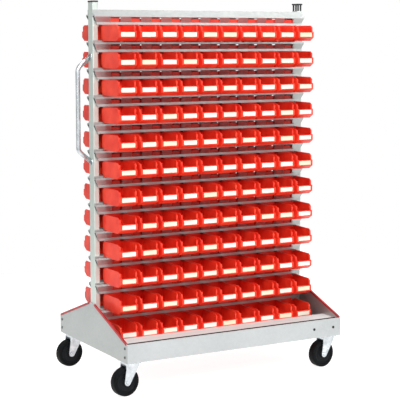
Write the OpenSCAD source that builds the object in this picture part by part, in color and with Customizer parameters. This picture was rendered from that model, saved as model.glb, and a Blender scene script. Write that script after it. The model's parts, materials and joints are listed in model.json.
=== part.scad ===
// Bin trolley: a double-sided rack of hanging bins on a wheeled base.
// The front is -Y, the push handle stands on the -X side and the floor is z = 0.

/* [Base] */
// Width of the base over its end plates
base_w = 1100; // [1000:10:1300]
// Depth of the base over its fascias
base_d = 705; // [660:5:800]
// Height of the fascias
fascia_h = 81; // [70:1:110]
// Sheet thickness of the fascias
fascia_t = 2; // [1.5:0.5:3]
// Depth of the deck strip folded inwards from each fascia
deck_d = 137; // [90:1:145]
// Height of the fascia's hem above the deck strip
deck_lip = 6; // [3:0.5:12]
// Drop of the fold along the inner edge of the deck strip
deck_drop = 14; // [6:1:25]
// Depth of the fascia's bottom flange
bottom_flange = 25; // [15:1:40]
// Depth of the flange at each end of a fascia
end_flange = 34; // [28:1:45]
// Sheet thickness of the end plates
plate_t = 3; // [2:0.5:5]
// Height of the end plates' peak above the fascias
peak_rise = 115; // [60:1:160]
// Width of the flat on the peak of an end plate
peak_flat = 56; // [52:1:90]
// Width of the red edging along the sloping edges
trim_w = 8; // [6:0.5:12]
// Depth of the red edging, from its outer face to its open side
trim_d = 9; // [8:0.5:16]
// Depth of the groove in the edging
trim_groove = 6; // [4:0.5:7.5]
// Height of the edging's lower end above the deck strip
trim_clear = 3; // [2.5:0.5:10]
// Width of the channels that carry the castors
bearer_w = 108; // [100:1:130]
// Height of the channels that carry the castors
bearer_h = 40; // [25:1:60]
// Sheet thickness of these channels
bearer_t = 3; // [2:0.5:4]

/* [Uprights] */
// Width of an upright, along the rack
upright_w = 25; // [20:0.5:40]
// Depth of an upright, from face to face of the rack
upright_d = 50; // [40:1:52]
// Wall of an upright
upright_wall = 2.5; // [1.5:0.5:4]
// Bevel on the corners of an upright, no wider than its wall
upright_bevel = 2.5; // [0.5:0.5:4]
// Height of the uprights above the top rail
upright_head = 32; // [20:1:80]
// Height of the plug's shank that shows on the right upright
plug_raise = 28; // [10:1:30]
// Thickness of the plug's flat head
plug_head = 7; // [4:0.5:12]
// How far the plug's head overhangs the upright
plug_rim = 2; // [0.5:0.5:4]
// Length of the plug's shank inside the upright
plug_depth = 20; // [12:1:40]
// Thickness of the plug's upright ribs
plug_rib = 6; // [3:0.5:8]

/* [Rails] */
// Rows of bins on each side
rows = 12; // [4:1:12]
// Height of the lowest seat for bins above the underside of the base
sill_rise = 44.2; // [43:0.2:60]
// Sheet thickness of the rails
rail_t = 2; // [1.5:0.5:2.5]
// How far a rail stands out from the uprights
rail_out = 18; // [16:0.5:24]
// Height of a rail's upper strip above the bins' seat
rail_strip = 12; // [8:0.5:16]
// Height of this strip on the top rails
top_strip = 26; // [16:0.5:34]
// Height of the hem above the bins' seat
hem_rise = 4; // [3:0.5:5]
// Height of the hem's outer face
hem_h = 8; // [6.5:0.5:10]
// Height of the sloping slotted web
web_h = 24; // [18:0.5:28]
// Height of the lip under the web
lip_drop = 11; // [7:0.5:12]
// Distance of the lip's outer face from the uprights
lip_out = 9.5; // [8.5:0.5:12]
// Width of a slot in the web
slot_w = 50; // [30:1:70]
// Distance from one slot to the next
slot_pitch = 100; // [80:1:120]
// Height of a slot
slot_h = 20; // [10:0.5:22]
// How far a rail's web is cut back at the foot of each end
end_cut = 16; // [4:1:25]
// Height of the plug in a rail's end, below the hem
rail_plug_h = 20; // [8:0.5:22]
// Thickness of the plug in a rail's end
rail_plug_t = 14; // [8:0.5:20]
// Shift of the slots along the rail
slot_shift = 9; // [-15:1:15]

/* [Bins] */
// Bins in each row, where there is room for them
bins = 10; // [4:1:12]
// Distance from one bin to the next
bin_pitch = 101.4; // [100.6:0.2:102]
// Width of a bin at its back
bin_w = 99; // [92:0.5:100]
// Width of a bin at its front
bin_front_w = 83; // [76:0.5:90]
// Depth of a bin
bin_d = 162; // [120:1:165]
// Height of a bin
bin_h = 70; // [60:0.5:90]
// Wall of a bin
bin_wall = 2.2; // [1.6:0.1:3]
// Height of the label panel's upper edge above the bin's underside
panel_h = 41; // [36:0.5:48]
// Height of the sloping front foot under the label panel
foot_rise = 16; // [10:0.5:18]
// Depth of the sloping front foot
foot_run = 28; // [16:0.5:40]
// How far the label panel stands in front of the side walls
beak = 11; // [6:0.5:16]
// Width of the stiffening post at each side of the opening
post_w = 7; // [5:0.5:10]
// Thickness of these posts
post_t = 3; // [2:0.5:5]
// Length of the fall at the upper front corner of a side wall
corner_run = 14; // [6:1:30]
// Drop of the fall at the upper front corner of a side wall
corner_drop = 9; // [4:0.5:16]
// Height of the bevel along the lower side edges
side_bevel_h = 15; // [8:0.5:20]
// Width of the bevel along the lower side edges
side_bevel_w = 4.5; // [2:0.5:6]
// Width of the label pocket
label_w = 71; // [50:0.5:72]
// Height of the label pocket
label_h = 21; // [12:0.5:22]
// Depth of the label pocket
label_recess = 0.8; // [0.4:0.1:1.2]
// Width of the hanging tongue behind the rail's lip
tongue_w = 72; // [50:1:86]
// Height of the hanging tongue above the bin's rim
tongue_h = 29; // [20:0.5:30]
// Width of the heel that stands in the rail's gutter
heel_w = 80; // [50:1:84]
// Thickness of the heel
heel_t = 6; // [4:0.5:8]
// Height of the heel under the bin
heel_h = 8.4; // [6:0.2:20]

/* [Castors] */
// Diameter of the wheels
wheel_d = 125; // [100:1:125]
// Width of the tyres
wheel_w = 36; // [28:1:40]
// Radius of the tyre's shoulders
tyre_round = 9; // [4:0.5:12]
// Diameter of the seat between rim and tyre
rim_d = 92; // [80:1:94]
// Height of a castor from the floor to the top of its plate
castor_h = 152; // [148:1:175]
// Distance of the wheel's axle behind the swivel axis
trail = 26; // [20:1:44]
// Heading of the castors at rest: the direction in which the wheels trail
castor_turn = 187; // [0:1:360]
// Distance from the swivel axis to the end of the base
inset_x = 42; // [42:0.5:53]
// Distance from the swivel axis to the face of the fascia
inset_y = 60; // [55:0.5:70]
// Castor plate, along the rack
castor_plate_w = 80; // [76:1:81]
// Castor plate, across the rack
castor_plate_d = 102; // [95:1:104]
// Thickness of the castor plate
castor_plate_t = 3; // [2:0.5:5]
// Diameter of the swivel race
race_d = 58; // [50:1:66]
// Height of the swivel race under the plate
race_h = 6; // [4:0.5:8]
// Diameter of the kingpin
kingpin_d = 12; // [10:0.5:16]
// Width of the fork's crown, along its heading
crown_w = 64; // [60:1:76]
// Sheet thickness of the fork
fork_t = 4; // [3:0.5:5]
// Radius of the fork's legs round the axle
leg_round = 15; // [11:0.5:20]
// Gap between the tyre and a leg of the fork
fork_gap = 3.2; // [2:0.2:5]
// Gap between the hub and a leg of the fork
hub_gap = 1.6; // [0.5:0.1:1.8]
// Diameter of the axle
axle_d = 10; // [8:0.5:14]
// Diameter of the wheel's hub
hub_d = 34; // [28:1:44]
// Thickness of the wheel's web between hub and seat
web_t = 20; // [8:1:24]
// Thickness of the rim's seat for the tyre
seat_t = 5; // [3:0.5:8]
// How far the rim's seat lies inside the tyre's side faces
seat_in = 3; // [1:0.5:5]
// Diameter of the castor bolts
castor_bolt_d = 8; // [6:0.5:10]

/* [Handle] */
// Diameter of the handle tube
handle_d = 20; // [16:0.5:25]
// Distance from the upright to the axis of the grip
handle_out = 62; // [55:1:90]
// Length of the straight grip
grip_len = 352; // [200:2:420]
// Height of the middle of the grip
grip_mid = 1210; // [900:5:1250]
// Rise of each leg of the handle, from upright to grip
leg_rise = 50; // [40:1:80]
// Radius of the bends, at the tube's axis
handle_bend = 36; // [28:1:45]
// How much thinner the tube is drawn in its bends
bend_draw = 0.2; // [0.2:0.1:0.6]

/* [Fasteners] */
// Thread diameter of the base screws
screw_d = 6; // [4:0.5:8]
// Diameter of the base screws' heads
screw_head_d = 12; // [9:0.5:16]
// Height of the base screws' heads
screw_head_h = 3; // [2:0.5:5]
// Distance of the corner screws from the face of the fascia
corner_screw_in = 21; // [16:0.5:26]
// Height of the lower corner screws above the underside of the base
corner_screw_low = 23; // [16:1:30]
// Height of the upper corner screws above the underside of the base
corner_screw_high = 62; // [50:1:64]
// Height of the fascia screws above the underside of the base
fascia_screw_z = 41; // [20:1:60]
// Distance of the outer fascia screws from the end of the base
fascia_screw_outer = 40; // [30:1:60]
// Distance of the inner fascia screws from the end of the base
fascia_screw_inner = 145; // [125:1:200]

/* [Fits] */
// Gap between a piece that rests and its seat
seat_gap = 0.2; // [0.1:0.05:0.3]
// Gap between the back of the bins and the rails' upper strips
back_gap = 1; // [0.6:0.1:1.5]
// Gap between a bin's rim and the lip above it
rim_gap = 0.8; // [0.5:0.1:2]
// Radial clearance of a running shaft
run_gap = 0.05; // [0.02:0.01:0.1]
// Gap between faces that turn past each other
turn_gap = 0.4; // [0.3:0.1:1]
// Radial clearance of a screw in its hole
screw_gap = 0.25; // [0.1:0.05:0.5]
// Gap all round a pressed-in piece
press_gap = 0.1; // [0.05:0.05:0.2]

/* [Hidden] */
$fn = 48;
steel = "gainsboro";
zinc = "silver";
black = "#1c1c1e";
red = "#e8402c";
dark_red = "#b3201c";

// Levels
base_z = castor_h;
base_top = base_z + fascia_h;
peak_z = base_top + peak_rise;
deck_z = base_top - deck_lip;
sill_z = base_z + sill_rise;
row_pitch = seat_gap + heel_h + bin_h + rim_gap + lip_drop + web_h + hem_h - hem_rise;
top_seat_z = sill_z + rows * row_pitch;
upright_top = top_seat_z + top_strip + upright_head;
upright_foot = base_z + bearer_t;

// Places along the rack
plate_in = base_w / 2 - plate_t;
upright_out = plate_in - bearer_t;
upright_x = upright_out - upright_w / 2;
bearer_x = plate_in - bearer_w / 2;
castor_x = base_w / 2 - inset_x;
castor_y = base_d / 2 - inset_y;

// As many bins as find room between the uprights, up to the number wanted
row_bins = min(bins, floor(2 * (upright_out - upright_w) / bin_pitch));

// The bins hang between one rail's gutter and the next rail's lip
bin_back = rail_t + back_gap;
lift = hem_rise + 2;
notch_h = lift + 1;
notch_d = lip_out - bin_back + 3;

// How far the handle's straight tube laps over a bend
bend_lap = 2;

// The frame's origin lies midway between the outermost points of the trolley
handle_reach = upright_out + handle_out + handle_d / 2;
wheel_reach = castor_x - (trail + wheel_d / 2) * cos(castor_turn) - wheel_w / 2 * sin(castor_turn);
left_reach = max(handle_reach, wheel_reach);
right_reach = base_w / 2 + max(screw_head_h, (trim_w - plate_t) / 2);
frame_x = (left_reach - right_reach) / 2;

function two(i) = i < 10 ? str("0", i) : str(i);
ROW_NAMES = [for (i = [1 : rows]) two(i)];
CORNERS = ["fl", "fr", "rl", "rr"];

// Where the tangent from a point touches a circle: to the left of its centre (s = 1) or to the right (s = -1)
function touch(from, centre, r, s) =
  let (d = norm(centre - from))
  let (way = atan2(centre[1] - from[1], centre[0] - from[0]) + s * asin(r / d))
  from + sqrt(d * d - r * r) * [cos(way), sin(way)];

// The side of the trolley on which a corner's castor stands
function corner_side(c) = [c[1] == "l" ? -1 : 1, c[0] == "f" ? -1 : 1];

// Moves a shape into the part's frame
module in_frame() {
  translate([frame_x, 0, 0])
    children();
}

// Draws its children on the front of the rack, and again on the rear
module both_sides() {
  children();
  rotate([0, 0, 180])
    children();
}

// Draws its children once for the front and once more, turned round, for the rear
module on_side(side) {
  rotate([0, 0, side == "front" ? 0 : 180])
    children();
}

// Extrudes a section along the rack: its x points forwards from the middle plane, its y upwards
module along_rack(length) {
  rotate([90, 0, -90])
    linear_extrude(length, center = true)
      children();
}

// Section of a fascia: face, doubled hem, deck strip with its dropped edge
module fascia_section() {
  back = base_d / 2;
  translate([back - fascia_t, base_z])
    square([fascia_t, fascia_h]);
  translate([back - 2 * fascia_t, deck_z - fascia_t])
    square([fascia_t, deck_lip + fascia_t]);
  translate([back - deck_d, deck_z - fascia_t])
    square([deck_d - fascia_t, fascia_t]);
  translate([back - deck_d, deck_z - deck_drop])
    square([fascia_t, deck_drop]);
}

// A front fascia in its place
module fascia() {
  inner_len = 2 * plate_in;
  flange_len = inner_len - 2 * bearer_w;
  flange_z = base_z + bearer_h + seat_gap;
  difference() {
    union() {
      along_rack(inner_len)
        fascia_section();
      translate([-flange_len / 2, -base_d / 2, base_z])
        cube([flange_len, bottom_flange, fascia_t]);
      for (s = [-1, 1])
        translate([s * (plate_in - fascia_t / 2) - fascia_t / 2, -base_d / 2, flange_z])
          cube([fascia_t, end_flange, deck_z - flange_z]);
    }
    for (x = [fascia_screw_outer, fascia_screw_inner])
      translate([base_w / 2 - x, -base_d / 2 - 1, base_z + fascia_screw_z])
        rotate([-90, 0, 0])
          cylinder(d = screw_d + 2 * screw_gap, h = fascia_t + 2);
    corner_holes(screw_d + 2 * screw_gap);
  }
}

// Bores for the corner screws at the front, through everything near the end plates
module corner_holes(d) {
  reach = plate_t + bearer_t + 2 * fascia_t;
  for (s = [-1, 1])
    for (z = [corner_screw_low, corner_screw_high])
      translate([s * base_w / 2, corner_screw_in - base_d / 2, base_z + z])
        rotate([0, 90, 0])
          cylinder(d = d, h = 2 * reach, center = true);
}

module front_fascia() {
  color(steel)
    in_frame()
      fascia();
}

module rear_fascia() {
  color(steel)
    in_frame()
      rotate([0, 0, 180])
        fascia();
}

// Outline of an end plate, x across the rack and y upwards
module end_outline() {
  polygon([
    [-base_d / 2, base_z],
    [base_d / 2, base_z],
    [base_d / 2, base_top],
    [peak_flat / 2, peak_z],
    [-peak_flat / 2, peak_z],
    [-base_d / 2, base_top]
  ]);
}

// A right-hand end plate in its place
module end_plate() {
  difference() {
    translate([plate_in, 0, 0])
      rotate([90, 0, 90])
        linear_extrude(plate_t)
          end_outline();
    both_sides()
      corner_holes(screw_d + 2 * screw_gap);
  }
}

module end_plate_left() {
  color(steel)
    in_frame()
      rotate([0, 0, 180])
        end_plate();
}

module end_plate_right() {
  color(steel)
    in_frame()
      end_plate();
}

// One strip of edging on the front slope of the right-hand end plate
module edge_trim() {
  run = base_d / 2 - peak_flat / 2;
  slope = atan2(peak_rise, run);
  over_deck = (trim_clear + trim_groove * cos(slope) - deck_lip) / sin(slope);
  start = max(2 * fascia_t + 1, over_deck);
  length = norm([run, peak_rise]) - start;
  translate([base_w / 2 - plate_t / 2, -base_d / 2, base_top])
    rotate([slope, 0, 0])
      difference() {
        translate([-trim_w / 2, start, -trim_groove])
          cube([trim_w, length, trim_d]);
        translate([-plate_t / 2 - press_gap, 0, -trim_groove - 1])
          cube([plate_t + 2 * press_gap, 2 * length, trim_groove + 1]);
      }
}

module edge_trims() {
  color(dark_red)
    in_frame()
      both_sides() {
        edge_trim();
        mirror([0, 1, 0])
          edge_trim();
      }
}

// Channel across the base that carries two castors and an upright
module castor_bearer() {
  length = base_d - 2 * fascia_t;
  difference() {
    translate([bearer_x - bearer_w / 2, -length / 2, base_z])
      cube([bearer_w, length, bearer_h]);
    translate([bearer_x - bearer_w / 2 + bearer_t, -length / 2 - 1, base_z + bearer_t])
      cube([bearer_w - 2 * bearer_t, length + 2, bearer_h]);
    both_sides()
      corner_holes(screw_d + 2 * screw_gap);
    for (s = [-1, 1])
      translate([castor_x, s * castor_y, base_z - 1])
        castor_bolt_places()
          cylinder(d = castor_bolt_d + 2 * screw_gap, h = bearer_t + 2);
  }
}

module castor_bearers() {
  color(zinc)
    in_frame()
      both_sides()
        castor_bearer();
}

// Outline of an upright's tube with its bevelled corners
module upright_outline() {
  bevel = min(upright_bevel, upright_wall);
  x = upright_w / 2;
  y = upright_d / 2;
  polygon([
    [x, bevel - y],
    [x, y - bevel],
    [x - bevel, y],
    [bevel - x, y],
    [-x, y - bevel],
    [-x, bevel - y],
    [bevel - x, -y],
    [x - bevel, -y]
  ]);
}

// The tube of an upright, from the channel in the base to the given height
module upright(top) {
  translate([upright_x, 0, upright_foot])
    linear_extrude(top - upright_foot)
      difference() {
        upright_outline();
        square([upright_w - 2 * upright_wall, upright_d - 2 * upright_wall], center = true);
      }
}

module upright_left() {
  color(steel)
    in_frame()
      rotate([0, 0, 180])
        upright(upright_top);
}

module upright_right() {
  color(steel)
    in_frame()
      upright(upright_top - plug_raise);
}

// Spacer between an upright and its end plate, above the castor channel
module mast_plates() {
  color(zinc)
    in_frame()
      both_sides()
        translate([upright_out, -upright_d / 2, base_z + bearer_h + seat_gap])
          cube([bearer_t, upright_d, peak_z - base_z - bearer_h - 2 * seat_gap]);
}

// Plug on an upright: flat head, and a shank of three ribs
module upright_plug(raise) {
  shank_w = upright_w - 2 * upright_wall - 2 * press_gap;
  shank_d = upright_d - 2 * upright_wall - 2 * press_gap;
  shank_h = plug_depth + raise;
  translate([upright_x, 0, upright_top]) {
    translate([-upright_w / 2 - plug_rim, -upright_d / 2 - plug_rim, 0])
      cube([upright_w + 2 * plug_rim, upright_d + 2 * plug_rim, plug_head]);
    for (y = [-1 : 1])
      translate([-shank_w / 2, y * (shank_d - plug_rib) / 2 - plug_rib / 2, -shank_h])
        cube([shank_w, plug_rib, shank_h]);
    translate([-plug_rib / 2, -shank_d / 2, -shank_h])
      cube([plug_rib, shank_d, shank_h - raise]);
  }
}

module upright_caps() {
  color(black)
    in_frame() {
      upright_plug(plug_raise);
      rotate([0, 0, 180])
        upright_plug(0);
    }
}

// Section of a rail's gutter: strip on the uprights, floor under the bins' heels, doubled hem
module gutter_section(strip) {
  translate([upright_d / 2, -rail_t])
    square([rail_t, strip + rail_t]);
  translate([upright_d / 2, -rail_t])
    square([rail_out, rail_t]);
  translate([upright_d / 2 + rail_out - 2 * rail_t, hem_rise - hem_h])
    square([2 * rail_t, hem_h]);
}

// Section of a rail's sloping web and the lip that holds the bins' tongues
module web_section() {
  out = upright_d / 2;
  web_top = hem_rise - hem_h;
  web_foot = web_top - web_h;
  polygon([
    [out + rail_out, web_top],
    [out + rail_out - 2 * rail_t, web_top],
    [out + lip_out - rail_t, web_foot],
    [out + lip_out - rail_t, web_foot - lip_drop],
    [out + lip_out, web_foot - lip_drop],
    [out + lip_out, web_foot]
  ]);
}

// A row of slots through the web of a rail
module web_slots() {
  slots = floor((2 * upright_out - slot_w) / slot_pitch);
  web_mid = hem_rise - hem_h - web_h / 2;
  for (i = [0 : slots - 1])
    translate([(i - (slots - 1) / 2) * slot_pitch + slot_shift, -upright_d / 2 - rail_out / 2, web_mid])
      cube([slot_w, 2 * rail_out, slot_h], center = true);
}

// The slanting cuts at the ends of a rail, below its hem
module end_cuts() {
  web_top = hem_rise - hem_h;
  web_foot = web_top - web_h - lip_drop;
  for (s = [-1, 1])
    rotate([90, 0, 0])
      linear_extrude(upright_d + 4 * rail_out, center = true)
        polygon([
          [s * upright_out, web_top],
          [s * (upright_out - end_cut), web_foot],
          [s * (upright_out - end_cut), web_foot - 1],
          [s * (upright_out + 1), web_foot - 1],
          [s * (upright_out + 1), web_top]
        ]);
}

// A front rail whose gutter holds row i of the bins, counted from the sill
module rail(i) {
  translate([0, 0, sill_z + i * row_pitch])
    difference() {
      along_rack(2 * upright_out) {
        gutter_section(i == rows ? top_strip : rail_strip);
        web_section();
      }
      web_slots();
      end_cuts();
    }
}

module front_rails() {
  color(steel)
    in_frame()
      for (i = [1 : rows])
        rail(i);
}

module rear_rails() {
  color(steel)
    in_frame()
      rotate([0, 0, 180])
        for (i = [1 : rows])
          rail(i);
}

// The lowest gutters, which have no row under them
module sill_rails() {
  color(steel)
    in_frame()
      both_sides()
        translate([0, 0, sill_z])
          along_rack(2 * upright_out)
            gutter_section(rail_strip);
}

// Wedge plug in the open end of a rail, between gutter and web
module rail_plug() {
  out = upright_d / 2;
  web_top = hem_rise - hem_h;
  hem_in = out + rail_out - 2 * rail_t;
  lip_in = out + lip_out - rail_t;
  polygon([
    [out, -rail_t],
    [hem_in, -rail_t],
    [hem_in, web_top],
    [hem_in + (lip_in - hem_in) * rail_plug_h / web_h, web_top - rail_plug_h],
    [out, web_top - rail_plug_h]
  ]);
}

module rail_end_plugs() {
  color(black)
    in_frame()
      both_sides()
        for (i = [1 : rows])
          for (s = [-1, 1])
            translate([0, 0, sill_z + i * row_pitch])
              difference() {
                translate([s * (upright_out - rail_plug_t / 2), 0, 0])
                  along_rack(rail_plug_t)
                    rail_plug();
                end_cuts();
              }
}

// Side view of a bin's body: x forwards from its back, y up from its underside
module bin_side() {
  polygon([
    [0, 0],
    [bin_d - foot_run, 0],
    [bin_d, foot_rise],
    [bin_d, panel_h],
    [bin_d - beak, panel_h + post_t],
    [bin_d - beak, bin_h - corner_drop],
    [bin_d - beak - corner_run, bin_h],
    [notch_d, bin_h],
    [notch_d, bin_h - notch_h],
    [0, bin_h - notch_h]
  ]);
}

// Side view of a bin's hollow
module hollow_side() {
  post_back = bin_d - beak - post_t;
  polygon([
    [bin_wall, bin_wall],
    [bin_d - foot_run - bin_wall / 2, bin_wall],
    [bin_d - bin_wall, foot_rise + bin_wall],
    [bin_d - bin_wall, panel_h - 2 * bin_wall],
    [post_back, panel_h + post_t],
    [post_back, bin_h + 1],
    [bin_wall, bin_h + 1]
  ]);
}

// Plan of a bin, narrower at the front, drawn in by a wall
module bin_plan(wall) {
  back = bin_w / 2 - wall;
  front = bin_front_w / 2 - wall;
  polygon([
    [-back, 0],
    [back, 0],
    [front, -bin_d],
    [-front, -bin_d]
  ]);
}

// Front view of a bin, with its bevelled lower edges
module bin_front(wall) {
  half = bin_w / 2 - wall;
  polygon([
    [side_bevel_w - half, wall],
    [half - side_bevel_w, wall],
    [half, side_bevel_h],
    [half, bin_h + 1],
    [-half, bin_h + 1],
    [-half, side_bevel_h]
  ]);
}

// Lofts a side view, the plan and the front view into one body
module bin_body(wall) {
  intersection() {
    along_rack(bin_w)
      children();
    linear_extrude(bin_h + 1)
      bin_plan(wall);
    rotate([90, 0, 0])
      linear_extrude(bin_d)
        bin_front(wall);
  }
}

// A bin, from the middle of the lower edge of its back
module bin() {
  opening_w = bin_front_w - 2 * post_w;
  label_z = foot_rise + (panel_h - foot_rise - label_h) / 2;
  difference() {
    union() {
      bin_body(0)
        bin_side();
      translate([-tongue_w / 2, -bin_wall, bin_h - notch_h - 1])
        cube([tongue_w, bin_wall, tongue_h + notch_h + 1]);
      translate([-heel_w / 2, -bin_wall - heel_t, -heel_h])
        cube([heel_w, heel_t, heel_h + bin_wall]);
    }
    bin_body(bin_wall)
      hollow_side();
    translate([-opening_w / 2, -bin_d - 1, panel_h])
      cube([opening_w, beak + 2 * post_t, bin_h]);
    translate([-label_w / 2, -bin_d - 1, label_z])
      cube([label_w, label_recess + 1, label_h]);
  }
}

// A row of bins on the front or rear, counted from the top
module bin_row(side, i) {
  color(red)
    in_frame()
      on_side(side)
        for (n = [0 : row_bins - 1])
          translate([
            (n - (row_bins - 1) / 2) * bin_pitch,
            -upright_d / 2 - bin_back,
            sill_z + (rows - i) * row_pitch + seat_gap + heel_h
          ])
            bin();
}

// One bend of the handle and the leg that runs up to the upright; the straight tube laps over the bend
module handle_leg() {
  leg_angle = atan2(handle_out, leg_rise);
  bend_len = handle_bend * tan(leg_angle / 2);
  translate([handle_bend, 0, grip_len / 2 - bend_len])
    rotate([90, 0, 180])
      rotate_extrude(angle = leg_angle)
        translate([handle_bend, 0])
          circle(d = handle_d - bend_draw);
  translate([0, 0, grip_len / 2])
    rotate([0, leg_angle, 0])
      translate([0, 0, bend_len - bend_lap])
        cylinder(d = handle_d, h = norm([handle_out, leg_rise]) + handle_d);
  cylinder(d = handle_d, h = grip_len / 2 - bend_len + bend_lap);
}

module push_handle() {
  color(zinc)
    in_frame()
      difference() {
        translate([-upright_out - handle_out, 0, grip_mid]) {
          handle_leg();
          mirror([0, 0, 1])
            handle_leg();
        }
        translate([-upright_out, -base_d / 2, 0])
          cube([base_w, base_d, upright_top]);
      }
}

// A pan-head screw along +z, its head's underside at z = 0
module base_screw(length) {
  cylinder(d = screw_head_d, h = screw_head_h);
  translate([0, 0, -length])
    cylinder(d = screw_d, h = length + 1);
}

module corner_screws() {
  length = plate_t + bearer_t + fascia_t + 4;
  color(zinc)
    in_frame()
      both_sides()
        for (s = [-1, 1])
          for (z = [corner_screw_low, corner_screw_high])
            translate([s * base_w / 2, corner_screw_in - base_d / 2, base_z + z])
              rotate([0, s * 90, 0])
                base_screw(length);
}

module fascia_screws() {
  color(black)
    in_frame()
      both_sides()
        for (x = [fascia_screw_outer, fascia_screw_inner])
          translate([base_w / 2 - x, -base_d / 2, base_z + fascia_screw_z])
            rotate([90, 0, 0])
              base_screw(fascia_t + 6);
}

// The four bolts of a castor plate
module castor_bolt_places() {
  for (x = [-1, 1])
    for (y = [-1, 1])
      translate([
        x * (castor_plate_w / 2 - castor_bolt_d * 1.5),
        y * (castor_plate_d / 2 - castor_bolt_d * 1.5),
        0
      ])
        children();
}

// Carries its children to a corner's swivel axis
module at_corner(c) {
  side = corner_side(c);
  translate([side[0] * castor_x, side[1] * castor_y, 0])
    children();
}

// Fixed half of a castor: plate, race and kingpin
module castor_plate() {
  plate_z = castor_h - castor_plate_t;
  crown_z = plate_z - race_h - turn_gap - fork_t;
  difference() {
    translate([-castor_plate_w / 2, -castor_plate_d / 2, plate_z])
      cube([castor_plate_w, castor_plate_d, castor_plate_t]);
    translate([0, 0, plate_z - 1])
      castor_bolt_places()
        cylinder(d = castor_bolt_d + 2 * screw_gap, h = castor_plate_t + 2);
  }
  translate([0, 0, plate_z - race_h])
    cylinder(d = race_d, h = race_h);
  translate([0, 0, crown_z - turn_gap])
    cylinder(d = kingpin_d, h = plate_z - crown_z);
  translate([0, 0, crown_z - turn_gap - 3])
    cylinder(d = kingpin_d * 1.7, h = 3);
}

module castor_plates() {
  color(zinc)
    in_frame()
      for (c = CORNERS)
        at_corner(c)
          castor_plate();
}

module castor_bolts() {
  head_h = castor_bolt_d * 0.6;
  nut_h = castor_bolt_d * 0.8;
  color(zinc)
    in_frame()
      for (c = CORNERS)
        at_corner(c)
          castor_bolt_places() {
            translate([0, 0, castor_h - castor_plate_t - head_h])
              cylinder(d = castor_bolt_d * 1.8, h = head_h, $fn = 6);
            translate([0, 0, castor_h - castor_plate_t - 1])
              cylinder(d = castor_bolt_d, h = castor_plate_t + bearer_t + nut_h + 2);
            translate([0, 0, castor_h + bearer_t])
              cylinder(d = castor_bolt_d * 1.8, h = nut_h, $fn = 6);
          }
}

// Side view of a leg: from the whole width of the crown down to the round end at the axle
module leg_outline(crown_z) {
  axle = [trail, wheel_d / 2];
  lead = [-crown_w / 2, crown_z - 2 * fork_t];
  tail = [crown_w / 2, crown_z - 2 * fork_t];
  translate(axle)
    circle(leg_round);
  polygon([
    [lead[0], crown_z + fork_t],
    lead,
    touch(lead, axle, leg_round, -1),
    axle,
    touch(tail, axle, leg_round, 1),
    tail,
    [tail[0], crown_z + fork_t]
  ]);
}

// Swivelling fork: crown on the kingpin and two tapering legs, trailing along +x
module castor_fork() {
  crown_z = castor_h - castor_plate_t - race_h - turn_gap - fork_t;
  leg_y = wheel_w / 2 + fork_gap;
  difference() {
    union() {
      translate([0, 0, crown_z])
        linear_extrude(fork_t) {
          circle(d = crown_w);
          square([crown_w, 2 * (leg_y + fork_t)], center = true);
        }
      for (s = [-1, 1])
        translate([0, s * (leg_y + fork_t / 2) + fork_t / 2, 0])
          rotate([90, 0, 0])
            linear_extrude(fork_t)
              leg_outline(crown_z);
    }
    translate([0, 0, crown_z - 1])
      cylinder(d = kingpin_d + 2 * run_gap, h = fork_t + 2);
    axle_line()
      cylinder(d = axle_d + 2 * run_gap, h = base_d, center = true);
  }
}

// Carries its children to the wheel's centre, with z along the axle
module axle_line() {
  translate([trail, 0, wheel_d / 2])
    rotate([90, 0, 0])
      children();
}

// Axle bolt with hexagon head and nut outside the fork's legs
module castor_axle() {
  span = wheel_w + 2 * fork_gap + 2 * fork_t;
  head_h = axle_d * 0.5;
  axle_line() {
    cylinder(d = axle_d, h = span + 2 * head_h, center = true);
    for (s = [-1, 1])
      translate([0, 0, s * (span + head_h) / 2])
        cylinder(d = axle_d * 1.7, h = head_h, center = true, $fn = 6);
  }
}

// Half section of the wheel's rim: hub, web and seat for the tyre
module rim_section() {
  hub_in = axle_d / 2 + run_gap;
  seat = rim_d / 2 - press_gap;
  hub_len = wheel_w + 2 * (fork_gap - hub_gap);
  translate([hub_in, -hub_len / 2])
    square([hub_d / 2 - hub_in, hub_len]);
  translate([hub_in, -web_t / 2])
    square([seat - hub_in, web_t]);
  translate([seat - seat_t, seat_in - wheel_w / 2])
    square([seat_t, wheel_w - 2 * seat_in]);
}

module wheel_rim() {
  axle_line()
    rotate_extrude()
      rim_section();
}

// Half section of the tyre, with rounded shoulders
module tyre_section() {
  tread = wheel_d / 2;
  intersection() {
    translate([rim_d / 2, -wheel_w / 2])
      square([tread, wheel_w]);
    union() {
      translate([0, -wheel_w / 2])
        square([tread - tyre_round, wheel_w]);
      translate([0, tyre_round - wheel_w / 2])
        square([tread, wheel_w - 2 * tyre_round]);
      for (s = [-1, 1])
        translate([tread - tyre_round, s * (wheel_w / 2 - tyre_round)])
          circle(tyre_round);
    }
  }
}

module wheel_tyre() {
  axle_line()
    rotate_extrude()
      tyre_section();
}

// A turning piece of a castor at its corner
module castor_piece(c, shade) {
  color(shade)
    in_frame()
      at_corner(c)
        rotate([0, 0, castor_turn])
          children();
}

end_plate_left();
end_plate_right();
edge_trims();
front_fascia();
rear_fascia();
castor_bearers();
upright_left();
upright_right();
mast_plates();
upright_caps();
front_rails();
rear_rails();
sill_rails();
rail_end_plugs();
push_handle();
corner_screws();
fascia_screws();
castor_plates();
castor_bolts();
for (c = CORNERS) {
  castor_piece(c, zinc) castor_fork();
  castor_piece(c, zinc) castor_axle();
  castor_piece(c, black) wheel_rim();
  castor_piece(c, black) wheel_tyre();
}
for (i = [1 : rows]) {
  bin_row("front", i);
  bin_row("rear", i);
}
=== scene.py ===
import json
import math

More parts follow.
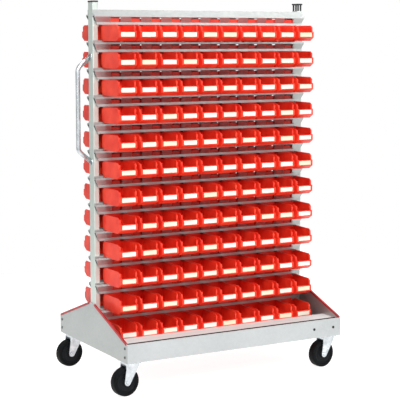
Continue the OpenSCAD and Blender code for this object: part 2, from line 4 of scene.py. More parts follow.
import bpy
import numpy as np
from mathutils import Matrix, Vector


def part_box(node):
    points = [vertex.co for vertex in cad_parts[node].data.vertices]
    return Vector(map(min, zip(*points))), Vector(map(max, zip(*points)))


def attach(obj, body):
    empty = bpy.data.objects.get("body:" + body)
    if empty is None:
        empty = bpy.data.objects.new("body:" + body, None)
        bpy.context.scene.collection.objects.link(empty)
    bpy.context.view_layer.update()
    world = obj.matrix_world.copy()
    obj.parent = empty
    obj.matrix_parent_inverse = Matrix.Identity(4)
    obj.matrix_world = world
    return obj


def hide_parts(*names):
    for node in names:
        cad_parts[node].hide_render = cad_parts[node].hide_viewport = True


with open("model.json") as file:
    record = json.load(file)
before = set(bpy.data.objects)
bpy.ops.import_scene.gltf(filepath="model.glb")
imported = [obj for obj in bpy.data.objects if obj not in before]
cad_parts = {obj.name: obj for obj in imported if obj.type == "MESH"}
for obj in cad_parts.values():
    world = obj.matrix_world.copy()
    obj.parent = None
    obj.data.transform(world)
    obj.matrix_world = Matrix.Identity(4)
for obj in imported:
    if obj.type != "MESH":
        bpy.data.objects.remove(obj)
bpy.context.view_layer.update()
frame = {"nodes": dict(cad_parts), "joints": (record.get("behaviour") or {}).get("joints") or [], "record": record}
nodes = frame["nodes"]
joints = {joint["name"]: joint for joint in frame["joints"]}
corners = ("fl", "fr", "rl", "rr")
binRows = sorted(name for name in nodes if name.startswith("bins_"))
millimetre = 0.001
perMetre = 1000.0  # a pattern's scale is this over its size in millimetres
print("frame:", len(nodes), "nodes,", len(binRows), "rows of bins")


# sRGB hex to the linear colour that shaders take
def linear(hexText):
    srgb = np.array([int(hexText[i:i + 2], 16) for i in (0, 2, 4)]) / 255
    rgb = np.where(srgb <= 0.04045, srgb / 12.92, ((srgb + 0.055) / 1.055) ** 2.4)
    return (*map(float, rgb), 1.0)


# one node with its properties, socket values, colour stops and incoming links
def addNode(tree, kind, props=None, values=None, stops=None, links=None):
    made = tree.nodes.new(kind)
    for name, value in (props or {}).items():
        setattr(made, name, value)
    for name, value in (values or {}).items():
        made.inputs[name].default_value = value
    for element, (place, colour) in zip(made.color_ramp.elements if stops else (), stops or ()):
        element.position, element.color = place, linear(colour)
    for name, source in (links or {}).items():
        tree.links.new(source, made.inputs[name])
    return made


# a cloudy pattern with spots of a size in millimetres
def noise(tree, place, sizeMm, detail):
    return addNode(tree, "ShaderNodeTexNoise", None,
                   {"Scale": perMetre / sizeMm, "Detail": detail},
                   links={"Vector": place}).outputs["Fac"]


# coordinates that draw a pattern out along each axis whose factor is below one
def drawnOut(tree, place, factors):
    return addNode(tree, "ShaderNodeMapping", None, {"Scale": factors},
                   links={"Vector": place}).outputs["Vector"]


# one value times a factor, plus another value
def weigh(tree, value, factor, other):
    return addNode(tree, "ShaderNodeMath", {"operation": "MULTIPLY_ADD"}, {1: factor},
                   links={0: value, 2: other}).outputs["Value"]


# two colours over a pattern, each at its own value
def tones(tree, value, stops):
    return addNode(tree, "ShaderNodeValToRGB", stops=stops, links={"Fac": value}).outputs["Color"]


# a pattern from 0 to 1, brought to the span between two values
def spread(tree, value, span):
    return addNode(tree, "ShaderNodeMapRange", None, {"To Min": span[0], "To Max": span[1]},
                   links={"Value": value}).outputs["Result"]


# shallow relief from a pattern
def relief(tree, height, strength, deepMm):
    return addNode(tree, "ShaderNodeBump", None,
                   {"Strength": strength, "Distance": deepMm * millimetre},
                   links={"Height": height}).outputs["Normal"]


# an empty material with its shader and Object coordinates, in metres
def newMaterial(name, values):
    made = bpy.data.materials.new(name)
    made.use_nodes = True
    tree = made.node_tree
    shader = tree.nodes["Principled BSDF"]
    for socket, value in values.items():
        shader.inputs[socket].default_value = value
    place = addNode(tree, "ShaderNodeTexCoord").outputs["Object"]
    return made, tree, shader, place


# joins colour, roughness and relief to a shader
def joinShader(tree, shader, colour, roughness=None, normal=None):
    tree.links.new(colour, shader.inputs["Base Color"])
    if roughness:
        tree.links.new(roughness, shader.inputs["Roughness"])
    if normal:
        tree.links.new(normal, shader.inputs["Normal"])


# In the materials' values a pattern is its size in millimetres and its detail, tones are a place in
# the pattern and a colour, rough is the span of roughness, and relief is its strength and its depth
# in millimetres

# Hot-dip galvanised steel: fine zinc crystals, each with its own gloss, under soft clouds; what
# faces up is painted paler, as painted light from above, and is made rougher and less metallic.
# Each kind of stock has a dark tone, a light tone and a share of bare metal
# the plate's darker tones are painted shade on the end plates, and the strip's darker tones are painted shade on
# the rails under the bins
galvanised = {"sheet": ("afb3b4", "c0c4c5", 0.7), "plate": ("9ea3a2", "acb0ae", 0.7),
              "tube": ("c1cbc5", "d3ddd6", 0.4), "strip": ("a8acab", "b8bcba", 0.7),
              "toneAt": (0.3, 1.0), "crystalMm": 9, "crystalShare": 0.15, "cloud": (260, 4.0),
              "rough": (0.28, 0.38), "relief": (0.04, 0.4), "paintedTopLight": "ced1cf",
              "topLightFrom": 0.3, "topLightFull": 0.9, "upwardRough": 0.62, "upwardMetal": 0.15}


def galvanisedSteel(name, dark, light, metalShare):
    made, tree, shader, place = newMaterial(name, {})
    crystal = addNode(tree, "ShaderNodeTexVoronoi", {"feature": "F1"},
                      {"Scale": perMetre / galvanised["crystalMm"]}, links={"Vector": place})
    cell = addNode(tree, "ShaderNodeSeparateColor",
                   links={"Color": crystal.outputs["Color"]}).outputs
    cloud = noise(tree, place, *galvanised["cloud"])
    tone = tones(tree, weigh(tree, cell["Red"], galvanised["crystalShare"], cloud),
                 list(zip(galvanised["toneAt"], (dark, light))))
    gloss = spread(tree, cell["Green"], galvanised["rough"])
    facing = addNode(tree, "ShaderNodeSeparateXYZ",
                     links={"Vector": addNode(tree, "ShaderNodeNewGeometry").outputs["Normal"]})
    # painted light: faces that point up are mixed towards a paler tone, as if lit from above, and also turn
    # rougher and less metallic
    paintedTopLight = addNode(tree, "ShaderNodeMapRange", None,
                    {"From Min": galvanised["topLightFrom"], "From Max": galvanised["topLightFull"]},
                    links={"Value": facing.outputs["Z"]}).outputs["Result"]
    colour = addNode(tree, "ShaderNodeMix", {"data_type": "RGBA"},
                     {7: linear(galvanised["paintedTopLight"])}, links={0: paintedTopLight, 6: tone})
    rough = addNode(tree, "ShaderNodeMix", {"data_type": "FLOAT"}, {3: galvanised["upwardRough"]},
                    links={0: paintedTopLight, 2: gloss})
    metal = spread(tree, paintedTopLight, (metalShare, galvanised["upwardMetal"]))
    tree.links.new(metal, shader.inputs["Metallic"])
    joinShader(tree, shader, colour.outputs[2], rough.outputs[0],
               relief(tree, cell["Blue"], *galvanised["relief"]))
    return made


# Bright zinc plate on pressed steel: smoother and bluer than dipped zinc, with fine drawing lines
# up and down
plated = {"surface": {"Metallic": 1.0}, "tones": ((0.3, "b2b9be"), (0.7, "dbe0e3")),
          "patch": (30, 2.0), "lines": (1.6, 3.0), "draw": (1.0, 1.0, 0.06),
          "rough": (0.20, 0.34), "relief": (0.08, 0.2)}


def zincPlate():
    made, tree, shader, place = newMaterial("zinc plate, bright passivated", plated["surface"])
    patch = noise(tree, place, *plated["patch"])
    lines = noise(tree, drawnOut(tree, place, plated["draw"]), *plated["lines"])
    joinShader(tree, shader, tones(tree, patch, plated["tones"]),
               spread(tree, lines, plated["rough"]), relief(tree, lines, *plated["relief"]))
    return made


# Injection-moulded polypropylene: saturated red, faint flow clouds, a fine grain that softens its
# gloss
moulded = {"surface": {"IOR": 1.49}, "tones": ((0.3, "e42a19"), (0.7, "f6462b")),
           "cloud": (60, 3.0), "grain": (1.2, 1.0), "rough": (0.34, 0.48), "relief": (0.1, 0.2)}


def redPolypropylene():
    made, tree, shader, place = newMaterial("red polypropylene, injection moulded",
                                            moulded["surface"])
    cloud = noise(tree, place, *moulded["cloud"])
    grain = noise(tree, place, *moulded["grain"])
    joinShader(tree, shader, tones(tree, cloud, moulded["tones"]),
               spread(tree, grain, moulded["rough"]), relief(tree, grain, *moulded["relief"]))
    return made


# Extruded PVC edging: dull deep red, rubbed paler in streaks along its length
edging = {"surface": {"IOR": 1.53}, "tones": ((0.35, "97141a"), (0.7, "bb2b2e")),
          "streak": (14, 3.0), "draw": (1.0, 0.15, 0.4), "rough": (0.38, 0.55)}


def redEdging():
    made, tree, shader, place = newMaterial("red PVC edging, extruded", edging["surface"])
    streak = noise(tree, drawnOut(tree, place, edging["draw"]), *edging["streak"])
    joinShader(tree, shader, tones(tree, streak, edging["tones"]),
               spread(tree, streak, edging["rough"]))
    return made


# Black moulded polyethylene: charcoal with a fine leathery grain
plugs = {"surface": {"IOR": 1.51}, "tones": ((0.3, "131416"), (0.75, "24262a")),
         "grain": (1.5, 2.0), "rough": (0.42, 0.6), "relief": (0.15, 0.2)}


def blackPolyethylene():
    made, tree, shader, place = newMaterial("black polyethylene, moulded", plugs["surface"])
    grain = noise(tree, place, *plugs["grain"])
    joinShader(tree, shader, tones(tree, grain, plugs["tones"]),
               spread(tree, grain, plugs["rough"]), relief(tree, grain, *plugs["relief"]))
    return made


# Vulcanised tyre rubber: blue-black and matt, greyer with dust in patches
rubber = {"surface": {"IOR": 1.52, "Specular IOR Level": 0.1},
          "tones": ((0.4, "030405"), (0.8, "0d1012")), "dust": (18, 4.0), "grain": (0.9, 1.0),
          "rough": (0.45, 0.62), "relief": (0.12, 0.2)}


def tyreRubber():
    made, tree, shader, place = newMaterial("tyre rubber, vulcanised", rubber["surface"])
    dust = noise(tree, place, *rubber["dust"])
    grain = noise(tree, place, *rubber["grain"])
    joinShader(tree, shader, tones(tree, dust, rubber["tones"]),
               spread(tree, dust, rubber["rough"]), relief(tree, grain, *rubber["relief"]))
    return made


# Glass-filled nylon of the wheel rims: dark slate grey with paler fibre specks
nylon = {"surface": {"IOR": 1.53, "Specular IOR Level": 0.12},
         "tones": ((0.45, "0b0d0f"), (0.75, "1d2024")), "speck": (1.4, 4.0), "rough": (0.40, 0.58)}


def rimNylon():
    made, tree, shader, place = newMaterial("glass-filled nylon, moulded", nylon["surface"])
    speck = noise(tree, place, *nylon["speck"])
    joinShader(tree, shader, tones(tree, speck, nylon["tones"]),
               spread(tree, speck, nylon["rough"]))
    return made


# Blackened steel screws: oily black oxide, worn to smoother metal in specks; the end plates' screws
# are rubbed to grey
oxide = {"surface": {"Metallic": 0.8}, "black": ((0.55, "1d1d1f"), (0.8, "5b5d60")),
         "grey": ((0.55, "5d5f61"), (0.8, "8d9092")), "wear": (2.5, 4.0), "rough": (0.5, 0.3)}


def blackOxide(name, stops):
    made, tree, shader, place = newMaterial(name, oxide["surface"])
    wear = noise(tree, place, *oxide["wear"])
    joinShader(tree, shader, tones(tree, wear, stops), spread(tree, wear, oxide["rough"]))
    return made


# Uncoated card: warm white, yellower on some bins, with a faint fibre mottle
card = {"surface": {"IOR": 1.45, "Roughness": 0.85}, "tones": ((0.15, "f5ede2"), (1.0, "eedfc0")),
        "fibre": (1.5, 3.0), "fibreShare": 0.3, "relief": (0.05, 0.1)}


def labelCard():
    made, tree, shader, place = newMaterial("label card, uncoated", card["surface"])
    age = addNode(tree, "ShaderNodeAttribute", {"attribute_name": "cardAge"}).outputs["Fac"]
    fibre = noise(tree, place, *card["fibre"])
    mottle = weigh(tree, fibre, card["fibreShare"], age)
    joinShader(tree, shader, tones(tree, mottle, card["tones"]), None,
               relief(tree, fibre, *card["relief"]))
    return made


finish = {
    "galvanised_sheet": galvanisedSteel("galvanised sheet, hot dipped", *galvanised["sheet"]),
    "zinc_plate": zincPlate(), "red_plastic": redPolypropylene(), "red_edging": redEdging(),
    "black_plastic": blackPolyethylene(), "tyre_rubber": tyreRubber(), "rim_plastic": rimNylon(),
    "black_screws": blackOxide("steel screws, black oxide", oxide["black"]),
}
# the uprights are duller than the sheet; the end plates are painted darker than the sheet, as painted
# shade, and the rails, rolled from strip, are painted darker, as painted shade under the rows of bins
tube = galvanisedSteel("galvanised tube, weathered", *galvanised["tube"])
plate = galvanisedSteel("galvanised plate, painted shade", *galvanised["plate"])
strip = galvanisedSteel("galvanised strip, rolled, painted shade", *galvanised["strip"])
special = {"upright_left": tube, "upright_right": tube, "end_plate_left": plate,
           "end_plate_right": plate, "front_rails": strip, "rear_rails": strip,
           "sill_rails": strip}
slotOf = {piece["node"]: piece["material_slot"] for piece in frame["record"]["subparts"]}
for name, slotName in slotOf.items():
    mesh = nodes[name].data
    mesh.materials.clear()
    mesh.materials.append(special.get(name, finish[slotName]))
print("materials on", len(slotOf), "CAD nodes")


# a closed mesh from points and faces, at the origin, riding on a body
def newPiece(name, points, faces, material, body, smooth=True):
    mesh = bpy.data.meshes.new(name)
    mesh.from_pydata(points.reshape(-1, 3).tolist(), [], [list(face) for face in faces])
    mesh.polygons.foreach_set("use_smooth", np.full(len(mesh.polygons), smooth))
    mesh.materials.append(material)
    made = bpy.data.objects.new(name, mesh)
    bpy.context.scene.collection.objects.link(made)
    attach(made, body)
    return made


# faces of an m by n grid of points whose rows are closed loops; aroundToo closes the columns as
# well
def gridFaces(m, n, aroundToo=False):
    j, i = np.meshgrid(np.arange(m if aroundToo else m - 1), np.arange(n), indexing="ij")
    nextRow = (j + 1) % m
    nextColumn = (i + 1) % n
    faces = [j * n + i, j * n + nextColumn, nextRow * n + nextColumn, nextRow * n + i]
    return np.stack(faces, -1).reshape(-1, 4)


# faces of a stack of rings, with a flat face at either end
def stackFaces(m, n):
    return [*gridFaces(m, n).tolist(), list(range(n))[::-1], list(range((m - 1) * n, m * n))]


# points and faces of several stacks of rings in one mesh
def joinStacks(stacks):
    points, faces, start = [], [], 0
    for stack in stacks:
        faces += [[start + k for k in face] for face in stackFaces(*stack.shape[:2])]
        points.append(stack.reshape(-1, 3))
        start += len(points[-1])
    return np.concatenate(points), faces


# A closed half section (radius, side) carried round an axis: centre plus side times the axis plus
# radius times the spoke, which turns from one cross direction to the other with cosine and sine of
# the angle
def revolve(centre, axis, radius, side, steps):
    axis = np.array(axis) / np.linalg.norm(axis)
    up = np.array([0.0, 0.0, 1.0])
    across = np.cross(up, axis)
    angle = np.linspace(0, 2 * np.pi, steps, endpoint=False)
    spoke = np.cos(angle)[:, None] * across + np.sin(angle)[:, None] * up
    return (np.array(centre) + side[None, :, None] * axis
            + radius[None, :, None] * spoke[:, None])


# tyre: a fat ring with a crowned tread, rounded shoulders and a moulded groove in each side
tyre = {"radius": 0.0625, "width": 0.036, "seat": 0.046, "square": 0.36, "crown": 0.0008,
        "crownFrom": 0.9, "grooveAt": 0.0535, "grooveDeep": 0.0009, "grooveWide": 0.0014,
        "points": 88, "steps": 80}


# The section is a squared ellipse: radius and side follow sine and cosine raised to a power below
# one
def tyrePoints(joint):
    turn = np.linspace(0, 2 * np.pi, tyre["points"], endpoint=False)
    swell = np.sign(np.sin(turn)) * np.abs(np.sin(turn)) ** tyre["square"]
    side = np.sign(np.cos(turn)) * np.abs(np.cos(turn)) ** tyre["square"]
    middle = (tyre["radius"] + tyre["seat"]) / 2
    crown = tyre["crown"] * side ** 2 * (swell > tyre["crownFrom"])
    radius = middle + (tyre["radius"] - middle) * swell - crown
    fromGroove = (radius - tyre["grooveAt"]) / tyre["grooveWide"]
    groove = tyre["grooveDeep"] * np.exp(-fromGroove ** 2)
    side = side * (tyre["width"] / 2 - groove)
    return revolve(joint["pos_m"], joint["axis"], radius, side, tyre["steps"])


# wheel rim: proud hub, dished web and a flange round the tyre's seat
rim = {"bore": 0.00505, "hub": 0.017, "hubSide": 0.0196, "web": 0.010, "flange": 0.041,
       "flangeSide": 0.015, "seat": 0.0459, "soft": 0.0007, "ring": 0.029, "ringHigh": 0.0011,
       "ringWide": 0.0016, "points": 60, "steps": 80}


# Each side of the rim is a height over the radius: the web, plus smooth steps up to the hub and to
# the flange, plus a ring
def rimPoints(joint):
    along = np.linspace(rim["bore"], rim["seat"], rim["points"])
    hub = (rim["hubSide"] - rim["web"]) / (1 + np.exp((along - rim["hub"]) / rim["soft"]))
    toFlange = (rim["flange"] - along) / rim["soft"]
    flange = (rim["flangeSide"] - rim["web"]) / (1 + np.exp(toFlange))
    ring = rim["ringHigh"] * np.exp(-((along - rim["ring"]) / rim["ringWide"]) ** 2)
    height = rim["web"] + hub + flange + ring
    radius = np.concatenate([along, along[::-1]])
    side = np.concatenate([height, -height[::-1]])
    return revolve(joint["pos_m"], joint["axis"], radius, side, rim["steps"])


for corner in corners:
    joint = joints["roll_" + corner]
    for name, points in (("tyre", tyrePoints(joint)), ("rim", rimPoints(joint))):
        slotName = slotOf[f"wheel_{name}_{corner}"]
        faces = gridFaces(points.shape[0], points.shape[1], True)
        piece = newPiece(f"{name}_{corner}", points, faces, finish[slotName], "wheel_" + corner)
        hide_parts(f"wheel_{name}_{corner}")
print("wheels:", len(corners))


# push handle: round tube, bent twice, cut off along the face of the upright
handle = {"tube": 0.010, "bend": 0.036, "rise": 0.050, "bendSteps": 12, "around": 24,
          "bead": 0.0026, "ripple": 0.0004, "ripples": 26, "beadSteps": 78, "beadAround": 8}


# The middle line runs straight, turns on an arc at each corner and ends in the upright's face
def handleLine():
    low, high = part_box("push_handle")
    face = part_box("upright_left")[0].x
    middle = (low.z + high.z) / 2
    grip = low.x + handle["tube"]
    lean = math.atan2(face - grip, handle["rise"])
    legEnd = handle["tube"] * math.sin(lean)  # how far the slanting tube rises over its middle line
    half = (high.z - low.z) / 2 - legEnd - handle["rise"]
    reach = handle["bend"] * math.tan(lean / 2)
    turn = np.linspace(0, lean, handle["bendSteps"])
    arcX = grip + handle["bend"] * (1 - np.cos(turn))
    arcZ = half - reach + handle["bend"] * np.sin(turn)
    x = np.concatenate([arcX, [face]])
    z = np.concatenate([arcZ, [half + handle["rise"]]])
    lineX = np.concatenate([x[::-1], x])
    lineZ = middle + np.concatenate([-z[::-1], z])
    return np.stack([lineX, np.zeros_like(lineX), lineZ], 1), face


# A circle stands square to the middle line at each station; the end circles slide along the leg to
# the upright's face
def handlePoints():
    line, face = handleLine()
    step = np.gradient(line, axis=0)
    step /= np.linalg.norm(step, axis=1)[:, None]
    step[[0, -1]] = [line[1] - line[0], line[-1] - line[-2]]
    step[[0, -1]] /= np.linalg.norm(step[[0, -1]], axis=1)[:, None]
    depth = np.array([0.0, 1.0, 0.0])
    aside = np.cross(step, depth)
    angle = np.linspace(0, 2 * np.pi, handle["around"], endpoint=False)
    ring = np.cos(angle)[:, None] * depth + np.sin(angle)[:, None] * aside[:, None]
    points = line[:, None] + handle["tube"] * ring
    for end in (0, -1):
        points[end] += ((face - points[end, :, 0]) / step[end, 0])[:, None] * step[end]
    return points


tubePoints = handlePoints()
grip = newPiece("handle_tube", *joinStacks([tubePoints]), finish["zinc_plate"], "rack")
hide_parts("push_handle")


# A weld bead is a small circle carried round the end of the tube, swelling and sinking with each
# pass of the weld
def weldPoints(loop):
    middle = loop.mean(0)
    angle = np.linspace(0, 2 * np.pi, handle["beadSteps"], endpoint=False)
    whole = np.linspace(0, 2 * np.pi, len(loop) + 1)
    closed = np.concatenate([loop, loop[:1]])
    path = np.stack([np.interp(angle, whole, closed[:, k]) for k in range(3)], 1)
    out = (path - middle) / np.linalg.norm(path - middle, axis=1)[:, None]
    wide = handle["bead"] + handle["ripple"] * np.cos(handle["ripples"] * angle)
    turn = np.linspace(0, 2 * np.pi, handle["beadAround"], endpoint=False)[None, :, None]
    ring = np.cos(turn) * out[:, None] + np.sin(turn) * [-1.0, 0.0, 0.0]
    return path[:, None] + wide[:, None, None] * ring


for name, end, order in (("handle_weld_low", 0, -1), ("handle_weld_high", -1, 1)):
    points = weldPoints(tubePoints[end])
    faces = gridFaces(*points.shape[:2], True)[:, ::order]
    weld = newPiece(name, points, faces, finish["zinc_plate"], "rack")
print("handle with two welds")


# caps on the uprights: a flat head with softened edges on four corner legs
caps = {"head": 0.007, "overhang": 0.002, "soft": 0.002, "softSteps": 5, "power": 9.0,
        "around": 48, "leg": 0.006, "legIn": 0.0026, "inTube": 0.020, "legTaper": 0.92}
square = np.array([[-1, -1], [1, -1], [1, 1], [-1, 1]])


# The head is a squared ellipse, |x/a| to the power plus |y/b| to the power equals one, drawn in
# along a quarter circle at its upper and lower edges
def headPoints(middle, half, low, high):
    angle = np.linspace(0, 2 * np.pi, caps["around"], endpoint=False)
    plan = np.stack([np.cos(angle), np.sin(angle)], 1)
    plan = np.sign(plan) * np.abs(plan) ** (2 / caps["power"])
    quarter = np.linspace(0, np.pi / 2, caps["softSteps"])
    inset = caps["soft"] * np.concatenate([1 - np.sin(quarter), 1 - np.cos(quarter)])
    level = np.concatenate([low + caps["soft"] * (1 - np.cos(quarter)),
                            high - caps["soft"] * (1 - np.sin(quarter))])
    rings = middle + plan[None] * (np.array(half)[None, None] - inset[:, None, None])
    levels = np.broadcast_to(level[:, None, None], (*rings.shape[:2], 1))
    return np.concatenate([rings, levels], -1)


# A leg is a square post, a little narrower at its foot
def legPoints(middle, low, high):
    corner = caps["leg"] / 2 * square
    plan = middle + corner[None] * np.array([caps["legTaper"], 1.0])[:, None, None]
    levels = np.broadcast_to(np.array([low, high])[:, None, None], (2, 4, 1))
    return np.concatenate([plan, levels], -1)


def capPiece(side):
    tubeLow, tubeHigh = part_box("upright_" + side)
    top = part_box("upright_caps")[1].z
    middle = np.array([(tubeLow.x + tubeHigh.x) / 2, (tubeLow.y + tubeHigh.y) / 2])
    halfTube = np.array([tubeHigh.x - tubeLow.x, tubeHigh.y - tubeLow.y]) / 2
    loops = [headPoints(middle, halfTube + caps["overhang"], top - caps["head"], top)]
    reach = halfTube - caps["legIn"] - caps["leg"] / 2
    foot, shoulder = tubeHigh.z - caps["inTube"], top - caps["head"] / 2
    loops += [legPoints(middle + reach * corner, foot, shoulder) for corner in square]
    return newPiece("cap_" + side, *joinStacks(loops), finish["black_plastic"], "rack", False)


for side in ("left", "right"):
    cap = capPiece(side)
    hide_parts("upright_caps")
print("caps on two uprights")


# screws of the base: button heads with a hexagon socket
screws = {"head": 0.012, "high": 0.003, "edge": 0.0008, "shank": 0.006, "length": 0.005,
          "socket": 0.004, "mouth": 0.66, "deep": 0.0016, "around": 24, "dome": 6,
          "fromFace": 0.021, "heights": (0.023, 0.062), "fasciaHeight": 0.041,
          "fromEnd": (0.040, 0.145)}


# Rings along the screw's axis: shank, underside, low rim, a quarter ellipse over the dome, then the
# socket, whose rings are hexagons with a radius of half the flats over the cosine of the angle from
# the nearest flat's middle
def screwPoints(place, axis):
    axis = np.array(axis, float)
    first = np.cross(axis, [0.0, 0.0, 1.0])
    second = np.cross(axis, first)
    angle = np.linspace(0, 2 * np.pi, screws["around"], endpoint=False)
    flat = screws["socket"] / 2 / np.cos((angle + np.pi / 6) % (np.pi / 3) - np.pi / 6)
    climb = np.linspace(0, np.pi / 2, screws["dome"])
    mouth = screws["socket"] * screws["mouth"]
    domeRadius = mouth + (screws["head"] / 2 - mouth) * np.cos(climb)
    domeHigh = screws["edge"] + (screws["high"] - screws["edge"]) * np.sin(climb)
    outside = np.concatenate([[screws["shank"] / 2] * 2, [screws["head"] / 2], domeRadius])
    radius = np.concatenate([np.repeat(outside[:, None], screws["around"], 1), [flat, flat]])
    level = np.concatenate([[-screws["length"], 0, 0], domeHigh,
                            screws["high"] - np.array([0, screws["deep"]])])
    spoke = np.cos(angle)[:, None] * first + np.sin(angle)[:, None] * second
    return np.array(place) + radius[:, :, None] * spoke + level[:, None, None] * axis


# places and directions: two screws at each corner of an end plate, and two in each fascia
def screwPlaces():
    low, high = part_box("end_plate_left")[0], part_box("end_plate_right")[1]
    front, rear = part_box("front_fascia")[0].y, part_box("rear_fascia")[1].y
    corner, fascia = [], []
    for face, out, end in ((front, -1, high.x), (rear, 1, low.x)):
        inside = face - out * screws["fromFace"]
        for height in screws["heights"]:
            corner += [((x, inside, low.z + height), (way, 0, 0))
                       for x, way in ((low.x, -1), (high.x, 1))]
        middle = low.z + screws["fasciaHeight"]
        fascia += [((end + out * reach, face, middle), (0, out, 0))
                   for reach in screws["fromEnd"]]
    return {"corner_screws": corner, "fascia_screws": fascia}


screwFinish = {"fascia_screws": finish["black_screws"],
               "corner_screws": blackOxide("steel screws, oxide rubbed grey", oxide["grey"])}
for node, places in screwPlaces().items():
    points, faces = joinStacks([screwPoints(*place) for place in places])
    heads = newPiece(node.replace("screws", "screw_heads"), points, faces, screwFinish[node],
                     "rack", False)
    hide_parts(node)
print("screws in the base")


# painted shadow: a black rubber bead along each deck strip, close behind the fascia's hem, where it
# stands for the shadow in the gap between the hem and the deck
shadowBeads = {"inFromFace": 0.032, "tall": 0.0044, "wide": 0.0036, "deckUnderTop": 0.006,
         "around": 12, "clearEnds": 0.004}


# The section is half an ellipse on a flat foot: height is tall times the root of one minus u
# squared, u from -1 to 1
def shadowBeadPoints(node):
    low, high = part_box(node)
    u = np.cos(np.linspace(0, np.pi, shadowBeads["around"]))
    front = low.y + high.y < 0
    middle = low.y + shadowBeads["inFromFace"] if front else high.y - shadowBeads["inFromFace"]
    y = middle + shadowBeads["wide"] / 2 * u
    z = high.z - shadowBeads["deckUnderTop"] + shadowBeads["tall"] * np.sqrt(1 - u ** 2)
    ends = np.array([low.x + shadowBeads["clearEnds"], high.x - shadowBeads["clearEnds"]])
    return np.stack(np.broadcast_arrays(ends[:, None], y, z), -1)


# each black bead is painted shadow behind a fascia's hem
for node in ("front_fascia", "rear_fascia"):
    points, faces = joinStacks([shadowBeadPoints(node)])
    shadowBead = newPiece("deck_shadow_bead_" + node.split("_")[0], points, faces, finish["tyre_rubber"],
                    "rack", False)
print("seals on two deck strips")


# the bins' sizes, as in the part's source, for their rims and cards; edge is the free edge of a
# side as depths from the bin's back and heights over its underside
bins = {"count": 10, "backWidth": 0.099, "frontWidth": 0.083, "deep": 0.162, "wall": 0.0022,
        "heel": 0.0084, "pocketLow": 0.018, "pocketHigh": 0.039,
        "edge": ((0.0105, 0.070), (0.137, 0.070), (0.151, 0.061), (0.151, 0.0432))}


# which way a row faces, and each bin's place: its middle, its front or back, and its underside
def rowPlaces(node, atFront):
    low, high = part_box(node)
    out = -1 if low.y + high.y < 0 else 1
    half = bins["backWidth"] / 2
    middles = np.linspace(low.x + half, high.x - half, bins["count"])
    y = low.y if atFront == (out < 0) else high.y
    return out, [(x, y, low.z + bins["heel"]) for x in middles]


# bin rims: a rolled bead on the free edge of each bin's two sides
beads = {"proud": 0.0007, "above": 0.0007, "deep": 0.0016, "around": 8}


# An oval is carried along the side's free edge, which runs forwards, down the corner and down the
# post; where the edge bends, the oval lies in the plane that halves the bend. The sides close in by
# the taper as they run forwards
def beadPair():
    edge = np.array(bins["edge"])
    run = np.diff(edge, axis=0)
    normal = np.stack([-run[:, 1], run[:, 0]], 1) / np.linalg.norm(run, axis=1)[:, None]
    before = np.concatenate([normal[:1], normal])
    after = np.concatenate([normal, normal[-1:]])
    mitre = (before + after) / (1 + np.sum(before * after, 1))[:, None]
    turn = np.linspace(0, 2 * np.pi, beads["around"], endpoint=False)
    tall = (beads["above"] + beads["deep"]) / 2
    lift = beads["above"] - tall + tall * np.sin(turn)
    depth = edge[:, :1] + mitre[:, :1] * lift
    height = edge[:, 1:] + mitre[:, 1:] * lift
    taper = (bins["backWidth"] - bins["frontWidth"]) / 2 / bins["deep"]
    middle = bins["backWidth"] / 2 - bins["wall"] / 2 - taper * depth
    across = middle + (bins["wall"] / 2 + beads["proud"]) * np.cos(turn)
    right = np.stack([across, depth, height], -1)
    left = np.stack([-across, depth, height], -1)[:, ::-1]
    return right, left


def beadRow(node, material):
    out, places = rowPlaces(node, False)
    pair = [side * np.array([-out, out, 1]) for side in beadPair()]
    points, faces = joinStacks([side + place for place in places for side in pair])
    newPiece("rims_" + node.removeprefix("bins_"), points, faces, material, node)


for row in binRows:
    beadRow(row, finish["red_plastic"])
print("rims on", len(binRows), "rows of bins")


# label cards: one card in each bin's pocket
cards = {"width": 0.0645, "height": 0.0186, "thick": 0.0003, "bow": 0.0002, "recess": 0.0008,
         "clear": 0.00005, "across": 5}


# The section is a thin oblong; across the card it bows outwards by bow times one minus u squared, u
# from -1 to 1
def labelRow(node, material):
    out, places = rowPlaces(node, True)
    u = np.linspace(-1, 1, cards["across"])[:, None]
    bow = cards["clear"] - cards["recess"] + cards["bow"] * (1 - u ** 2)
    proud = bow + cards["thick"] * np.array([0, 1, 1, 0])
    middle = (bins["pocketLow"] + bins["pocketHigh"]) / 2
    tall = middle + cards["height"] / 2 * np.array([-1, -1, 1, 1])
    one = np.stack(np.broadcast_arrays(cards["width"] / 2 * u, out * proud, tall), -1)
    points, faces = joinStacks([one + place for place in places])
    faces = [loop[::-1] for loop in faces] if out < 0 else faces
    made = newPiece("labels_" + node.removeprefix("bins_"), points, faces, material, node, False)
    age = np.random.default_rng(binRows.index(node)).random(bins["count"]) ** 2
    shade = made.data.attributes.new("cardAge", "FLOAT", "POINT")
    shade.data.foreach_set("value", np.repeat(age, one.size // 3).astype(np.float32))


paper = labelCard()
for row in binRows:
    labelRow(row, paper)
print("label cards in", len(binRows), "rows")


# studio: a pale floor that glows like a light table, and a white surround
studio = {"rough": 0.9, "tones": ((0.2, "a2a2a0"), (0.8, "a8a8a6")), "mottle": (1250, 2.0),
          "glow": 0.86, "half": 2.6, "horizon": 0.12, "zenith": 0.5, "zenithFrom": 0.7,
          "ahead": 1.0, "behind": 0.55}
white = (1, 1, 1, 1)


def paleFloor():
    made, tree, shader, place = newMaterial("studio floor, pale acrylic lit from below", {
        "Roughness": studio["rough"], "Emission Color": white,
        "Emission Strength": studio["glow"]})
    mottle = noise(tree, place, *studio["mottle"])
    joinShader(tree, shader, tones(tree, mottle, studio["tones"]))
    mesh = bpy.data.meshes.new("studioFloor")
    corner = studio["half"] * np.array([(-1, -1, 0), (1, -1, 0), (1, 1, 0), (-1, 1, 0)])
    mesh.from_pydata(corner.tolist(), [], [(0, 1, 2, 3)])
    mesh.materials.append(made)
    floor = bpy.data.objects.new("studioFloor", mesh)
    bpy.context.scene.collection.objects.link(floor)


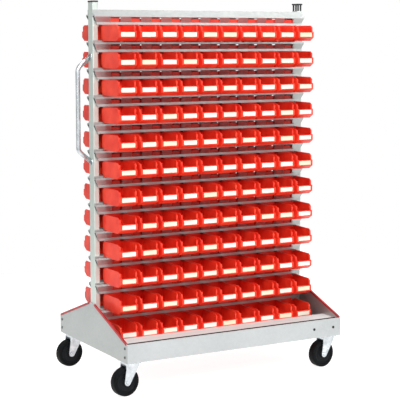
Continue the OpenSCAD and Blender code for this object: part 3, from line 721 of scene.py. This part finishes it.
# The surround is white where it is seen, dims towards the horizon where it lights, and is brighter
# ahead of the trolley than behind it where metal mirrors it
def whiteSurround():
    world = bpy.data.worlds.new("studio")
    world.use_nodes = True
    tree = world.node_tree
    way = addNode(tree, "ShaderNodeSeparateXYZ",
                  links={"Vector": addNode(tree, "ShaderNodeTexCoord").outputs["Generated"]})
    lit = addNode(tree, "ShaderNodeMapRange", None,
                  {"From Max": studio["zenithFrom"], "To Min": studio["horizon"],
                   "To Max": studio["zenith"]}, links={"Value": way.outputs["Z"]})
    mirrored = addNode(tree, "ShaderNodeMapRange", None,
                       {"From Min": -1.0, "To Min": studio["ahead"], "To Max": studio["behind"]},
                       links={"Value": way.outputs["Y"]})
    ray = addNode(tree, "ShaderNodeLightPath")
    unseen = addNode(tree, "ShaderNodeMix", {"data_type": "FLOAT"},
                     links={0: ray.outputs["Is Diffuse Ray"], 2: mirrored.outputs["Result"],
                            3: lit.outputs["Result"]})
    strength = addNode(tree, "ShaderNodeMix", {"data_type": "FLOAT"}, {3: 1.0},
                       links={0: ray.outputs["Is Camera Ray"], 2: unseen.outputs[0]})
    backdrop = tree.nodes["Background"]
    backdrop.inputs["Color"].default_value = white
    tree.links.new(strength.outputs[0], backdrop.inputs["Strength"])
    bpy.context.scene.world = world


# lights as place, width and power: a soft key from the front and the handle's side, a broad light
# overhead, weak fills from the right and from the handle's side, and a light behind
lights = {"key": ((-2.0, -5.0, 4.4), 2.0, 290.0), "top": ((0.0, -0.6, 4.6), 4.0, 90.0),
          "fill": ((3.5, -5.0, 2.4), 2.4, 40.0), "side": ((-5.0, -3.0, 2.6), 2.4, 60.0),
          "back": ((2.0, 5.0, 3.6), 2.4, 130.0)}
lightsAim = (0, 0, 0.8)


def areaLight(name, place, size, power):
    data = bpy.data.lights.new(name, "AREA")
    data.shape, data.size, data.energy = "DISK", size, power
    light = bpy.data.objects.new(name, data)
    bpy.context.scene.collection.objects.link(light)
    back = np.array(place) - np.array(lightsAim)
    tilt = math.acos(back[2] / np.linalg.norm(back))
    light.location = place
    light.rotation_euler = (tilt, 0, math.atan2(back[0], -back[1]))


paleFloor()
whiteSurround()
for name, values in lights.items():
    areaLight(name + "Light", *values)

# camera: turned and tipped down to the photograph's view, with a small shift for its framing
camera = {"place": (-2.8606, -5.1153, 1.5172), "turn": -29.506, "pitch": -6.156, "lens": 115.51,
          "sensor": 36.0, "shift": -0.057}
lens = bpy.data.cameras.new("photoCamera")
lens.sensor_width, lens.lens, lens.shift_y = camera["sensor"], camera["lens"], camera["shift"]
viewer = bpy.data.objects.new("photoCamera", lens)
viewer.location = camera["place"]
viewer.rotation_euler = (math.radians(90 + camera["pitch"]), 0, math.radians(camera["turn"]))
bpy.context.scene.collection.objects.link(viewer)
bpy.context.scene.camera = viewer
bpy.context.scene.view_settings.view_transform = "Standard"
print("studio and camera set")

bpy.context.view_layer.update()
